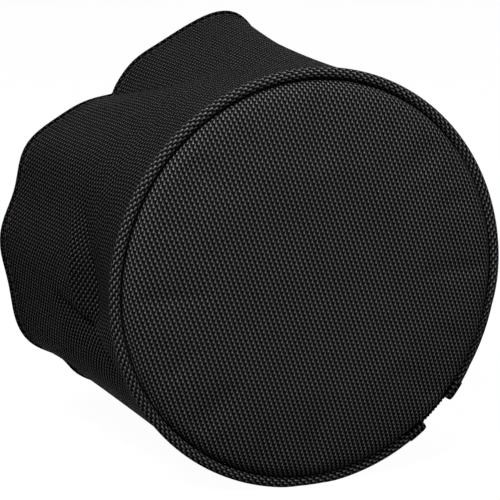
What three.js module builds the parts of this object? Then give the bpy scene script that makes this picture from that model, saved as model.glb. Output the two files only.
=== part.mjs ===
import * as THREE from 'three';

// A soft slip-on cap for the hood of a large lens. A padded round front is sewn to a floppy cloth
// skirt. The skirt is a strip bent round the front, its two bound ends leave a slit, and a
// hook-and-loop tab draws the slit closed. The cap lies on its side: its axis runs along Y, the
// front faces -Y, the mouth opens to +Y and +Z is up. The origin is the middle of the front's
// inside face, where the hood seats.
// Angles are in degrees round the axis, from +X towards +Z. Depths run back from the widest ring
// of the turned edge, towards the mouth.

// The cloth and the room that touching pieces keep, in millimetres
const clothThickness = 1.0;
const liningThickness = 0.7;
const bindingThickness = 0.7;
const clearance = 0.3;

// The skirt and its turned edge
const skirtRadius = 76.5;
const skirtDepth = 97;
const rollProud = 1.5;
const rollRound = 2.05;
const rollFlare = 6;
const restFlat = 0.8;

// The padded front
const frontLiningThickness = 0.8;
const frontLiningMargin = 0.2;
const seatMargin = 1;
const stiffenerThickness = 1.5;
const panelThickness = 0.8;
const foamEdge = 0.9;
const shoulderRise = 4.5;
const crownRise = 2.0;
const shoulderPower = 10;
const grooveGap = 0.5;

// The bindings at the mouth and along the slit, and the tape over the seam inside
const mouthBindingWidth = 6;
const slitBindingWidth = 8;
const seamTapeWidth = 7.5;
const seamTapeThickness = 2.4;

// The slit and the tab that closes it
const slitAngle = 313.3;
const slitGap = 13;
const strapWidth = 22;
const strapSetback = 11;
const strapThickness = 1.4;
const strapBaseLength = 24;
const patchMargin = 1;
const loopLength = 15;
const loopThickness = 1.3;
const hookLength = 13.5;
const hookThickness = 1.2;
const patchInset = 2;

// The folds that the skirt has when it lies on its side. A fold's angle, height and width are
// those at the mouth. It leans round by so many degrees on its way to the front, and starts at a
// share of the depth.
const folds = [
  { angle: 86, height: 9.0, width: 10, lean: 0, start: 0 },
  { angle: 79.5, height: 3.0, width: 6, lean: 0, start: 0.6 },
  { angle: 98, height: 2.0, width: 8, lean: 0, start: 0 },
  { angle: 124.5, height: -5.0, width: 9, lean: -28, start: 0 },
  { angle: 153, height: 7.5, width: 11, lean: -6, start: 0 },
  { angle: 176.5, height: 8.7, width: 13, lean: 0, start: 0 },
  { angle: 202, height: 8.3, width: 15, lean: 4, start: 0 },
  { angle: 215, height: -3.2, width: 6, lean: 6, start: 0 },
  { angle: 241, height: -6.5, width: 13, lean: 0, start: 0 },
  { angle: 44, height: -9.0, width: 22, lean: 0, start: 0 },
  { angle: 16, height: -3.0, width: 14, lean: 0, start: 0 },
];
const foldGrowth = 1.3;

// The dents where the cloth buckles close behind the front, each with its middle's angle and
// depth, how far it reaches along the depth, and its lean over the whole depth
const dents = [
  { angle: 183, at: 20, height: -4.5, width: 16, reach: 11, lean: 0 },
  { angle: 203, at: 27, height: -3.0, width: 6, reach: 24, lean: -36 },
];

// Sizes that follow from those above
const rollRadius = skirtRadius + rollProud;
const axisHeight = rollRadius - restFlat;
const grooveRadius = rollRadius - 2 * rollRound;
const panelRadius = grooveRadius - grooveGap;
const stiffenerBack = -frontLiningThickness - clearance;
const stiffenerFront = stiffenerBack - stiffenerThickness;
const foamBack = stiffenerFront - clearance;
const foamFront = foamBack - foamEdge;
const panelFront = foamFront - clearance - panelThickness;
const rollPlane = panelFront + clothThickness;
const mouthPlane = rollPlane + skirtDepth;
const coverStep = clearance + bindingThickness;
const liningInset = clothThickness + clearance;
const innerInset = liningInset + liningThickness;
const slitEdge = degrees(slitGap / 2 + coverStep);
const trimEdge = degrees(slitGap / 2 + slitBindingWidth + clearance);

function degrees(arc) {
  return (arc / skirtRadius) * (180 / Math.PI);
}

function radians(angle) {
  return (angle * Math.PI) / 180;
}

function bell(offset, width) {
  const turned = ((((offset + 180) % 360) + 360) % 360) - 180;
  return Math.exp(-((turned / width) ** 2));
}

// How far the cloth's outside lies from the axis. It flares to meet the roll at the front. The
// underside lies flat, so that the binding over the cloth just meets what the cap lies on.
function skirtSurface(angle, depth) {
  const share = Math.min(Math.max(depth / skirtDepth, 0), 1);
  let radius = skirtRadius + rollProud * Math.max(1 - depth / rollFlare, 0);
  for (const fold of folds) {
    const grown = Math.max((share - fold.start) / (1 - fold.start), 0) ** foldGrowth;
    const middle = fold.angle + fold.lean * (1 - share);
    radius += fold.height * grown * bell(angle - middle, fold.width);
  }
  for (const dent of dents) {
    const middle = dent.angle + (dent.lean * (depth - dent.at)) / skirtDepth;
    const near = Math.exp(-(((depth - dent.at) / dent.reach) ** 2));
    radius += dent.height * near * bell(angle - middle, dent.width);
  }
  const lift = depth < rollFlare ? 0 : coverStep;
  return restOn(radius, angle, axisHeight - lift);
}

function restOn(radius, angle, height) {
  const down = -Math.sin(radians(angle));
  return down > 0 ? Math.min(radius, height / down) : radius;
}

// A point at a radius and angle round the axis, y along it
function around(radius, y, angle) {
  return new THREE.Vector3(radius * Math.cos(radians(angle)), y, radius * Math.sin(radians(angle)));
}

// A closed solid that runs through a row of stations. outline gives each station's section as
// flat points, and place puts a flat point in space. Each four-sided face is split the same way
// round, from the lower flat height at one station to the higher at the next, so that layers
// which follow each other stay the same distance apart.
function loft(stations, outline, place) {
  const sections = stations.map(outline);
  const count = sections[0].length;
  const points = sections.flatMap((section, i) => section.map(([u, v]) => place(u, v, stations[i])));
  const index = [];
  for (let i = 0; i + 1 < stations.length; i += 1) {
    for (let j = 0; j < count; j += 1) {
      const next = (j + 1) % count;
      const a = i * count + j;
      const b = i * count + next;
      if (sections[i][next][1] >= sections[i][j][1]) {
        index.push(a, b, b + count, a, b + count, a + count);
      } else {
        index.push(a, b, a + count, b, b + count, a + count);
      }
    }
  }
  for (const [i, flip] of [[0, true], [stations.length - 1, false]]) {
    const contour = sections[i].map(([u, v]) => new THREE.Vector2(u, v));
    const turn = Math.sign(THREE.ShapeUtils.area(contour));
    for (const [a, b, c] of THREE.ShapeUtils.triangulateShape(contour, [])) {
      const same = Math.sign(THREE.ShapeUtils.area([contour[a], contour[b], contour[c]])) === turn;
      const corners = same === flip ? [a, c, b] : [a, b, c];
      index.push(...corners.map((corner) => corner + i * count));
    }
  }
  return solid(points, index);
}

// The triangles as a geometry whose faces point out
function solid(points, index) {
  let volume = 0;
  for (let i = 0; i < index.length; i += 3) {
    const [a, b, c] = [points[index[i]], points[index[i + 1]], points[index[i + 2]]];
    volume += a.dot(b.clone().cross(c));
  }
  const geometry = new THREE.BufferGeometry().setFromPoints(points);
  geometry.setIndex(volume < 0 ? index.toReversed() : index);
  geometry.computeVertexNormals();
  return geometry;
}

// The stations round the skirt: close together where the folds are, and wide on the plain side.
// The middle of the underside has one on either side of it, so that it lies flat between them.
const closeStep = 6;
const wideStep = 12;
const foldsFrom = 432;
const foldsTo = 612;
const restMiddle = 630;
const restHalf = 3.5;

function spread(from, to, step) {
  const count = Math.ceil((to - from) / step);
  return Array.from({ length: count }, (_, i) => from + ((to - from) * i) / count);
}

const trimStations = [
  ...spread(slitAngle + trimEdge, foldsFrom, wideStep),
  ...spread(foldsFrom, foldsTo, closeStep),
  ...spread(foldsTo, restMiddle - restHalf, wideStep),
  ...spread(restMiddle - restHalf, restMiddle + restHalf, wideStep),
  ...spread(restMiddle + restHalf, slitAngle + 360 - trimEdge, wideStep),
  slitAngle + 360 - trimEdge,
];
const skirtStations = [slitAngle + slitEdge, ...trimStations, slitAngle + 360 - slitEdge];
const depthShares = [0, 0.1, 0.22, 0.37, 0.56, 0.78, 1];
const underBinding = skirtDepth - mouthBindingWidth;
const tapeEnd = clearance + seamTapeWidth - rollPlane;
const clothDepths = [
  rollFlare,
  ...depthShares.map((share) => tapeEnd + share * (underBinding - tapeEnd)),
  skirtDepth - coverStep,
];

// The skirt: one layer of cloth that turns over the front edge in a round roll
function skirtSection(angle) {
  const outside = clothDepths.toReversed().map((depth) => [skirtSurface(angle, depth), rollPlane + depth]);
  const roll = [];
  const rollSteps = 4;
  for (let i = 0; i <= rollSteps; i += 1) {
    const turn = (Math.PI * i) / rollSteps;
    const radius = rollRadius - rollRound + rollRound * Math.cos(turn);
    roll.push([restOn(radius, angle, axisHeight), rollPlane - rollRound * Math.sin(turn)]);
  }
  const inside = clothDepths.map((depth) => [
    skirtSurface(angle, depth) - clothThickness,
    rollPlane + depth,
  ]);
  return [...outside, ...roll, [grooveRadius, stiffenerBack], ...inside];
}

// The lining: a soft layer just inside the skirt
function liningSection(angle) {
  const layer = (inset) => clothDepths.map((depth) => [
    skirtSurface(angle, depth) - inset,
    rollPlane + depth,
  ]);
  return [...layer(liningInset), ...layer(innerInset).toReversed()];
}

// The tape that covers the seam's raw edge, inside the corner of front and skirt
function seamTapeSection(angle) {
  const behindLining = (depth) => [
    skirtSurface(angle, depth) - innerInset - clearance,
    rollPlane + depth,
  ];
  const outer = [[grooveRadius, clearance], behindLining(rollFlare), behindLining(tapeEnd)];
  return [...outer, ...outer.toReversed().map(([radius, y]) => [radius - seamTapeThickness, y])];
}

// The binding folded over the mouth: an outer leg, a turned edge and an inner leg. Its outer leg
// follows the cloth and lies level with the roll underneath.
function mouthBindingSection(angle) {
  const legs = (inset, depths) => depths.map((depth) => [
    skirtSurface(angle, depth) - inset,
    rollPlane + depth,
  ]);
  return [
    ...legs(-coverStep, [underBinding, skirtDepth]),
    ...legs(innerInset + coverStep, [skirtDepth, underBinding]),
    ...legs(innerInset + clearance, [underBinding, skirtDepth - bindingThickness]),
    ...legs(-clearance, [skirtDepth - bindingThickness, underBinding]),
  ];
}

// A binding folded over one end of the skirt, along the slit. side is 1 above the slit and -1
// below it. The flat points hold the arc from the slit's middle and the height over the cloth.
function slitBinding(side) {
  const edge = slitGap / 2;
  const shortLeg = bindingThickness + clearance / 2;
  const depths = [0, ...clothDepths.slice(0, -1), skirtDepth];
  const outline = (depth) => {
    const innerLeg = depth > rollFlare ? slitBindingWidth : shortLeg;
    return [
      [edge, coverStep],
      [edge + slitBindingWidth, coverStep],
      [edge + slitBindingWidth, clearance],
      [edge + bindingThickness, clearance],
      [edge + bindingThickness, -innerInset - clearance],
      [edge + innerLeg, -innerInset - clearance],
      [edge + innerLeg, -innerInset - coverStep],
      [edge, -innerInset - coverStep],
    ];
  };
  const place = (arc, height, depth) => {
    const angle = slitAngle + side * degrees(arc);
    return around(skirtSurface(angle, depth) + height, rollPlane + depth, angle);
  };
  return loft(depths, outline, place);
}

// The padded front's outline from the axis out to its edge: a gentle crown that rolls steeply down
// at the shoulder. It stands forward of a base height.
const crownShares = [0, 0.3, 0.55, 0.75, 0.87, 0.94, 0.98, 1];

function crown(radius, base) {
  return crownShares.map((share) => {
    const shoulder = shoulderRise * Math.sqrt(1 - share ** shoulderPower);
    return new THREE.Vector2(radius * share, base - shoulder - crownRise * (1 - share ** 2));
  });
}

const roundSteps = 60;
const fillRadius = panelRadius - panelThickness - clearance;

function revolve(points) {
  return new THREE.LatheGeometry(points, roundSteps);
}

function disc(radius, front, back) {
  return revolve([
    new THREE.Vector2(0, front),
    new THREE.Vector2(radius, front),
    new THREE.Vector2(radius, back),
    new THREE.Vector2(0, back),
  ]);
}

// The inside face of the front. The hood seats on it within the seam tape. Its margin, which runs
// under the tape, lies a step lower.
function frontLining() {
  const seatRadius = grooveRadius - seamTapeThickness - seatMargin;
  return revolve([
    new THREE.Vector2(0, -frontLiningThickness),
    new THREE.Vector2(panelRadius, -frontLiningThickness),
    new THREE.Vector2(panelRadius, -frontLiningMargin),
    new THREE.Vector2(seatRadius, -frontLiningMargin),
    new THREE.Vector2(seatRadius, 0),
    new THREE.Vector2(0, 0),
  ]);
}

function frontPanel() {
  return revolve([
    ...crown(panelRadius, panelFront),
    new THREE.Vector2(panelRadius, stiffenerBack),
    new THREE.Vector2(panelRadius - panelThickness, stiffenerBack),
    ...crown(panelRadius - panelThickness, panelFront + panelThickness).toReversed(),
  ]);
}

function frontFoam() {
  return revolve([
    ...crown(fillRadius, foamFront),
    new THREE.Vector2(fillRadius, foamBack),
    new THREE.Vector2(0, foamBack),
  ]);
}

// A flat piece bent round the skirt: from one arc to another off the slit's middle, with its
// inside and outside given as heights over the cloth. It spans the strap's width along Y.
const bendStep = 4;
const leastBends = 4;

function bentStrip(from, to, inside, outside, inset) {
  const steps = Math.max(leastBends, Math.ceil(Math.abs(to - from) / bendStep));
  const arcs = Array.from({ length: steps + 1 }, (_, i) => from + ((to - from) * i) / steps);
  const edge = (height, list) => list.map((arc) => {
    const angle = radians(slitAngle + degrees(arc));
    const radius = skirtRadius + height(arc);
    return new THREE.Vector2(radius * Math.cos(angle), -radius * Math.sin(angle));
  });
  const shape = new THREE.Shape([...edge(inside, arcs), ...edge(outside, arcs.toReversed())]);
  const depth = strapWidth - 2 * inset;
  const geometry = new THREE.ExtrudeGeometry(shape, { depth, steps: 1, bevelEnabled: false });
  geometry.rotateX(-Math.PI / 2);
  geometry.translate(0, mouthPlane - strapSetback - strapWidth + inset, 0);
  return geometry;
}

const strapReach = slitGap / 2 + slitBindingWidth + patchMargin;
const loopTop = clearance + loopThickness;
const hookBottom = loopTop + clearance;
const hookTop = hookBottom + hookThickness;
const tabOverHook = hookTop + clearance;
const tabOverBinding = coverStep + clearance;
const tabRoot = strapReach - clearance;
const loopEnd = -strapReach - loopLength;
const hookStart = -strapReach - patchMargin;
const tabTip = Math.min(loopEnd, hookStart - hookLength - patchMargin);

function tabInside(arc) {
  const share = Math.min(Math.max((tabRoot - arc) / (2 * strapReach), 0), 1);
  return tabOverBinding + (tabOverHook - tabOverBinding) * share * share * (3 - 2 * share);
}

const level = (height) => () => height;

// The finish of each kind of material
const cloth = { color: '#1b1b1c', roughness: 0.7 };
const lining = { color: '#232324', roughness: 0.95 };
const foam = { color: '#3a3a3c', roughness: 0.95 };
const board = { color: '#4a4a4c', roughness: 0.6 };
const webbing = { color: '#161617', roughness: 0.8 };
const hooks = { color: '#161617', roughness: 0.9 };
const loops = { color: '#232324', roughness: 1 };

function makeMesh(name, geometry, finish) {
  const material = new THREE.MeshStandardMaterial({ ...finish, metalness: 0 });
  const mesh = new THREE.Mesh(geometry, material);
  mesh.name = name;
  return mesh;
}

const cap = new THREE.Group();
cap.add(makeMesh('front_panel', frontPanel(), cloth));
cap.add(makeMesh('front_foam', frontFoam(), foam));
cap.add(makeMesh('front_stiffener', disc(fillRadius, stiffenerFront, stiffenerBack), board));
cap.add(makeMesh('front_lining', frontLining(), lining));
cap.add(makeMesh('skirt', loft(skirtStations, skirtSection, around), cloth));
cap.add(makeMesh('skirt_lining', loft(skirtStations, liningSection, around), lining));
cap.add(makeMesh('seam_tape', loft(trimStations, seamTapeSection, around), webbing));
cap.add(makeMesh('mouth_binding', loft(trimStations, mouthBindingSection, around), cloth));
cap.add(makeMesh('slit_binding_upper', slitBinding(1), cloth));
cap.add(makeMesh('slit_binding_lower', slitBinding(-1), cloth));

const strapBase = bentStrip(
  strapReach,
  strapReach + strapBaseLength,
  level(clearance),
  level(clearance + strapThickness),
  0,
);
const strapTab = bentStrip(tabRoot, tabTip, tabInside, (arc) => tabInside(arc) + strapThickness, 0);
const loopPatch = bentStrip(-strapReach, loopEnd, level(clearance), level(loopTop), 0);
const hookPatch = bentStrip(
  hookStart,
  hookStart - hookLength,
  level(hookBottom),
  level(hookTop),
  patchInset,
);
cap.add(makeMesh('strap_base', strapBase, webbing));
cap.add(makeMesh('loop_patch', loopPatch, loops));

// The tab and the hooks under it open together, about the tab's root
const closureTab = new THREE.Group();
closureTab.add(makeMesh('strap_tab', strapTab, webbing));
closureTab.add(makeMesh('hook_patch', hookPatch, hooks));
cap.add(closureTab);

export default cap;
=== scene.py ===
# %% [markdown]
# # A soft slip-on cap for the hood of a large lens
#
# The cap is a sewn thing: a padded round front, a skirt that is one strip of coarse woven nylon, a
# lining, hems, a tape over the seam inside, and a short strap that closes the slit with hooks and
# loops. Everything is black, so its form shows through the light on the yarns, the edges of the
# hems and the folds. The construction is loaded first, as fixed solids. Each soft solid is then
# replaced by a finer mesh that fills the same room.

# %% Load the construction
import math

import bpy
import numpy as np
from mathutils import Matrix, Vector


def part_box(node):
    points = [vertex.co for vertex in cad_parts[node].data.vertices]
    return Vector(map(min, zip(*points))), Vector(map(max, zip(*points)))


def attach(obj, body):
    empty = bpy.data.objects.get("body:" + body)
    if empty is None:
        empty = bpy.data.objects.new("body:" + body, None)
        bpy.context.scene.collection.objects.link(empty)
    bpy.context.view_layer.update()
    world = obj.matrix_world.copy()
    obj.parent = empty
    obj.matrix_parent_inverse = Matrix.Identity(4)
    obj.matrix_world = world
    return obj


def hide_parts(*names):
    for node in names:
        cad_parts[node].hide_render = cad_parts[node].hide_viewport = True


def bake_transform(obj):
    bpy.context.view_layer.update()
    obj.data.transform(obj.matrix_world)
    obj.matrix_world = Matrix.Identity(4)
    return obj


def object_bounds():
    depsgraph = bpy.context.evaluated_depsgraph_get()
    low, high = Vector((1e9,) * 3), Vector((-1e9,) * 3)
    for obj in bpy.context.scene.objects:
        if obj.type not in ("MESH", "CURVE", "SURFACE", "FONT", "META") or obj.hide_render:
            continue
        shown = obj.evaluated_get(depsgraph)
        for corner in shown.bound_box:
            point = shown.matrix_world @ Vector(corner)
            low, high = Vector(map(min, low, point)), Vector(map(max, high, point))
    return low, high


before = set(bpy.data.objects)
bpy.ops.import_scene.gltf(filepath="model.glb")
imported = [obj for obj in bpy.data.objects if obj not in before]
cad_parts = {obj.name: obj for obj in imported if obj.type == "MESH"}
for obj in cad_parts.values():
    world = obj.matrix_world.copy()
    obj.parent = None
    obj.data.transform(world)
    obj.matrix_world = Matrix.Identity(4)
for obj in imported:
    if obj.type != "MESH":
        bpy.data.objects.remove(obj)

cad_low, cad_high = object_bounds()
print("construction spans, in mm:", [round(1000 * size) for size in cad_high - cad_low])

# %% [markdown]
# ## Sizes
#
# Lengths are in millimetres until a mesh is made, and angles in degrees, because cloth is thought
# of in those. The cap's axis runs along Y, with the front facing -Y. An angle goes round the axis
# from +X towards +Z. A depth runs back from the widest ring of the turned edge, towards the mouth.
# The driving sizes are the construction's own, and the ends of the cap are read from its pieces.
# Front and skirt are sewn together at the seam plane, in the groove inside the turned edge.

# %% Driving sizes
MM = 0.001
CLEARANCE = 0.3
CLOTH = 1.0
LINING = 0.7
HEM_CLOTH = 0.7
SKIRT_RADIUS = 76.5
SKIRT_DEPTH = 97.0
ROLL_PROUD = 1.5
ROLL_ROUND = 2.05
ROLL_FLARE = 6.0
FLAT_UNDERNEATH = 0.8
SLIT_ANGLE = 313.3
SLIT_GAP = 13.0
SLIT_HEM_WIDTH = 8.0
MOUTH_HEM_WIDTH = 6.0
SEAM_PLANE = -1.1

ROLL_RADIUS = SKIRT_RADIUS + ROLL_PROUD
GROOVE_RADIUS = ROLL_RADIUS - 2 * ROLL_ROUND
AXIS_HEIGHT = ROLL_RADIUS - FLAT_UNDERNEATH
HEM_STEP = CLEARANCE + HEM_CLOTH
LINING_INSET = CLOTH + CLEARANCE
INNER_INSET = LINING_INSET + LINING
MOUTH_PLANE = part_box("mouth_binding")[1].y / MM
ROLL_PLANE = MOUTH_PLANE - SKIRT_DEPTH
PANEL_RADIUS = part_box("front_panel")[1].x / MM
print("mouth plane", round(MOUTH_PLANE, 2), "roll plane", round(ROLL_PLANE, 2))

# %% [markdown]
# ## The shape of the skirt
#
# The cap lies on its side, so the empty skirt sags into folds. One formula gives how far the cloth
# lies from the axis. Long folds open out towards the mouth, and dents are where the cloth buckles
# close behind the stiff front. The construction uses the same folds, so cloth, lining and hems stay
# beside each other. A simulation could drape the skirt too, but it would settle in folds of its own.

# %% Folds and dents of the skirt
# A fold's angle, height and width are those at the mouth. It leans round by so many degrees on its
# way to the front, and starts at a share of the depth.
FOLDS = [
    dict(angle=86, height=9.0, width=10, lean=0, start=0),
    dict(angle=79.5, height=3.0, width=6, lean=0, start=0.6),
    dict(angle=98, height=2.0, width=8, lean=0, start=0),
    dict(angle=124.5, height=-5.0, width=9, lean=-28, start=0),
    dict(angle=153, height=7.5, width=11, lean=-6, start=0),
    dict(angle=176.5, height=8.7, width=13, lean=0, start=0),
    dict(angle=202, height=8.3, width=15, lean=4, start=0),
    dict(angle=215, height=-3.2, width=6, lean=6, start=0),
    dict(angle=241, height=-6.5, width=13, lean=0, start=0),
    dict(angle=44, height=-9.0, width=22, lean=0, start=0),
    dict(angle=16, height=-3.0, width=14, lean=0, start=0),
]
FOLD_GROWTH = 1.3

# The flank is dented behind the roll: at each angle the cloth sinks to a valley and rises to a ridge.
FLANK = dict(angles=(155, 161, 168, 174, 180, 185, 190, 193), valleys=(42, 38, 32, 27.5, 25, 25, 24, 24),
             ridges=(48, 46, 41, 38, 38.5, 36, 33, 33), sinks=(0, 1.3, 3.2, 4.6, 5.4, 5.4, 3.0, 0))

# A crease is a sharp line: at each depth it has an angle and a height, and it is steeper above.
CREASES = [
    dict(depths=(8, 14.5, 19.5, 26, 33.5, 42.5, 55), angles=(206, 201, 197, 193.5, 191.5, 189.5, 186),
         heights=(0, -3.0, -4.6, -4.8, -4.2, -2.8, 0), above=1.6, below=7.0),
    dict(depths=(38, 50, 60, 75, 97), angles=(107, 113.5, 117, 121, 125),
         heights=(0, -1.5, -2.0, -2.5, -3.0), above=2.5, below=6.0),
]


def wrapped(angle):
    return (angle + 180) % 360 - 180


def bell(offset, width):
    return np.exp(-((wrapped(offset) / width) ** 2))


def flank_sink(angle, depth):
    valley, ridge, sink = (np.interp(angle % 360, FLANK["angles"], FLANK[key], left=0, right=0)
                           for key in ("valleys", "ridges", "sinks"))
    valley, ridge = np.maximum(valley, 1), np.maximum(ridge, 2)
    share = np.minimum(depth / valley, (ridge - depth) / (ridge - valley))
    return sink * np.clip(share, 0, 1)


def crease_height(crease, angle, depth):
    middle = np.interp(depth, crease["depths"], crease["angles"])
    height = np.interp(depth, crease["depths"], crease["heights"])
    offset = wrapped(angle - middle)
    side = np.where(offset < 0, crease["above"], crease["below"])
    return height * np.exp(-np.abs(offset) / side)


def rest_on(radius, angle, height):
    """The underside is pressed flat, so that nothing reaches lower than height under the axis."""
    down = -np.sin(np.radians(angle))
    return np.where(down > 0, np.minimum(radius, height / np.maximum(down, 1e-6)), radius)


def skirt_surface(angle, depth):
    """How far the outside of the cloth lies from the axis."""
    share = np.clip(depth / SKIRT_DEPTH, 0, 1)
    radius = SKIRT_RADIUS + ROLL_PROUD * np.maximum(1 - depth / ROLL_FLARE, 0)
    for fold in FOLDS:
        grown = np.maximum((share - fold["start"]) / (1 - fold["start"]), 0) ** FOLD_GROWTH
        middle = fold["angle"] + fold["lean"] * (1 - share)
        radius = radius + fold["height"] * grown * bell(angle - middle, fold["width"])
    radius = radius - flank_sink(angle, depth)
    for crease in CREASES:
        radius = radius + crease_height(crease, angle, depth)
    lift = np.where(depth < ROLL_FLARE, 0, HEM_STEP)
    return rest_on(radius, angle, AXIS_HEIGHT - lift)


def around(radius, y, angle):
    """Points at a radius and angle round the axis, y along it."""
    turn = np.radians(angle)
    radius, y, turn = np.broadcast_arrays(radius, y, turn)
    return np.stack([radius * np.cos(turn), y, radius * np.sin(turn)], -1)


def degrees(arc):
    return np.degrees(arc / SKIRT_RADIUS)


mouth_angles = np.arange(0, 360, 1.0)
mouth_ring = around(skirt_surface(mouth_angles, SKIRT_DEPTH), 0, mouth_angles)
mouth_length = np.linalg.norm(mouth_ring - np.roll(mouth_ring, 1, 0), axis=1).sum()
print("cloth at the mouth measures", round(mouth_length), "mm round")

# %% [markdown]
# ## Meshes from rows of sections
#
# Most of the cap's pieces are a section that is carried along a path: round the cap, along the
# slit or along the strap. So one helper joins a grid of points into a closed mesh. It also stores
# the cloth's own coordinates, in metres along the warp and the weft, in a UV map. The weave is
# drawn from that map, so that it follows the cloth round folds and edges.

# %% Helpers that make meshes
CLOTH_MAP = "cloth"
LEG_STEPS = 6
BEND_STEPS = 9


def linked(name, data):
    """A mesh, a lamp or a camera, put in the scene as an object."""
    made = bpy.data.objects.new(name, data)
    bpy.context.scene.collection.objects.link(made)
    return made


def new_object(name, mesh, finish):
    mesh.materials.append(finish)
    return linked(name, mesh)


def mesh_from(name, points, faces, edges=()):
    """A mesh through points that are given in millimetres."""
    mesh = bpy.data.meshes.new(name)
    mesh.from_pydata((np.asarray(points) * MM).tolist(), edges, faces)
    return mesh


def add_cloth_map(mesh, corners):
    layer = mesh.uv_layers.new(name=CLOTH_MAP)
    layer.uv.foreach_set("vector", np.asarray(corners, np.float32).ravel())


def points_inwards(points, faces):
    quads = points[faces]
    cross = np.cross(quads[:, 1] - quads[:, 0], quads[:, 2] - quads[:, 0])
    cross += np.cross(quads[:, 2] - quads[:, 0], quads[:, 3] - quads[:, 0])
    return (quads.mean(1) * cross).sum() < 0


def lofted(name, grid, cloth, finish):
    """A closed mesh through a grid of points. Its rows are stations along a path, and its columns
    run round each section. cloth has one column more, because the map doesn't close on itself."""
    rows, columns = grid.shape[:2]
    points = grid.reshape(-1, 3)
    row, column = np.meshgrid(np.arange(rows - 1), np.arange(columns), indexing="ij")
    row, column = row.ravel(), column.ravel()
    steps = [(0, 0), (0, 1), (1, 1), (1, 0)]
    faces = np.stack([(row + r) * columns + (column + c) % columns for r, c in steps], 1)
    spots = np.stack([(row + r) * (columns + 1) + column + c for r, c in steps], 1)
    first = np.arange(columns)[::-1]
    last = (rows - 1) * columns + np.arange(columns)
    if points_inwards(points, faces):
        faces, spots, first, last = faces[:, ::-1], spots[:, ::-1], first[::-1], last[::-1]
    mesh = mesh_from(name, points, faces.tolist() + [first.tolist(), last.tolist()])
    end_spots = [end // columns * (columns + 1) + end % columns for end in (first, last)]
    corners = np.concatenate([spots.ravel(), *end_spots])
    add_cloth_map(mesh, cloth.reshape(-1, 2)[corners] * MM)
    mesh.polygons.foreach_set("use_smooth", [True] * len(faces) + [False] * 2)
    mesh.update()
    print(name, len(mesh.polygons), "faces")
    return new_object(name, mesh, finish)


def along(points, axis):
    """The distance run along a grid of points, starting at 0."""
    steps = np.linalg.norm(np.diff(points, axis=axis), axis=2)
    return np.cumsum(np.insert(steps, 0, 0, axis=axis), axis=axis)


def thick_line(line, thickness, round_steps=5):
    """The outline of a strip of cloth seen from its edge: an open line of flat points, made
    thick, with round ends."""
    line = np.asarray(line, float)
    run = np.gradient(line, axis=0)
    run /= np.linalg.norm(run, axis=1, keepdims=True)
    side = np.stack([-run[:, 1], run[:, 0]], 1)
    half = thickness / 2
    turns = np.radians(np.linspace(90, -90, round_steps + 2)[1:-1])[:, None]
    last = line[-1] + half * (np.cos(turns) * run[-1] + np.sin(turns) * side[-1])
    first = line[0] - half * (np.cos(turns) * run[0] + np.sin(turns) * side[0])
    return np.concatenate([line + half * side, last, (line - half * side)[::-1], first])


def folded_edge(turn_at, leg_end, inner_leg_end, middle, fold_radius):
    """The line of a strip folded over an edge: an outer leg, a round turn and an inner leg."""
    high, low = middle + fold_radius, middle - fold_radius
    outer = np.linspace([leg_end, high], [turn_at, high], LEG_STEPS)
    turn = np.radians(np.linspace(90, 270, BEND_STEPS + 2)[1:-1])
    away = math.copysign(1, leg_end - turn_at)
    bend = np.stack([turn_at + away * fold_radius * np.cos(turn),
                     middle + fold_radius * np.sin(turn)], 1)
    inner = np.linspace([turn_at, low], [inner_leg_end, low], LEG_STEPS)
    return np.concatenate([outer, bend, inner])


# %% [markdown]
# ## Materials as sums
#
# A woven cloth is a formula: the height of each yarn where it goes over and under its neighbours.
# It is easiest to read as a sum, so a small class lets sockets be added and multiplied. Each
# operator adds one Math node.

# %% Sockets that can be added and multiplied
class Wire:
    """A socket's value, for use in sums."""

    def __init__(self, recipe, socket):
        self.recipe = recipe
        self.socket = socket

    def pick(self, output):
        return Wire(self.recipe, self.socket.node.outputs[output])

    def __add__(self, other):
        return self.recipe.math("ADD", self, other)

    def __mul__(self, other):
        return self.recipe.math("MULTIPLY", self, other)

    def __sub__(self, other):
        return self.recipe.math("SUBTRACT", self, other)

    def __rsub__(self, other):
        return self.recipe.math("SUBTRACT", other, self)

    def __pow__(self, other):
        return self.recipe.math("POWER", self, other)

    __radd__ = __add__
    __rmul__ = __mul__


class Nodes:
    """A tree of nodes. Each node is made by one method."""

    def __init__(self, tree):
        self.tree = tree

    def node(self, kind, settings, sockets, output=0):
        made = self.tree.nodes.new(kind)
        for key, value in settings.items():
            setattr(made, key, value)
        for key, value in sockets.items():
            if isinstance(value, Wire):
                self.tree.links.new(value.socket, made.inputs[key])
            else:
                made.inputs[key].default_value = value
        return Wire(self, made.outputs[output]) if made.outputs else None

    def math(self, operation, *values):
        return self.node("ShaderNodeMath", {"operation": operation}, dict(enumerate(values)))


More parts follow.
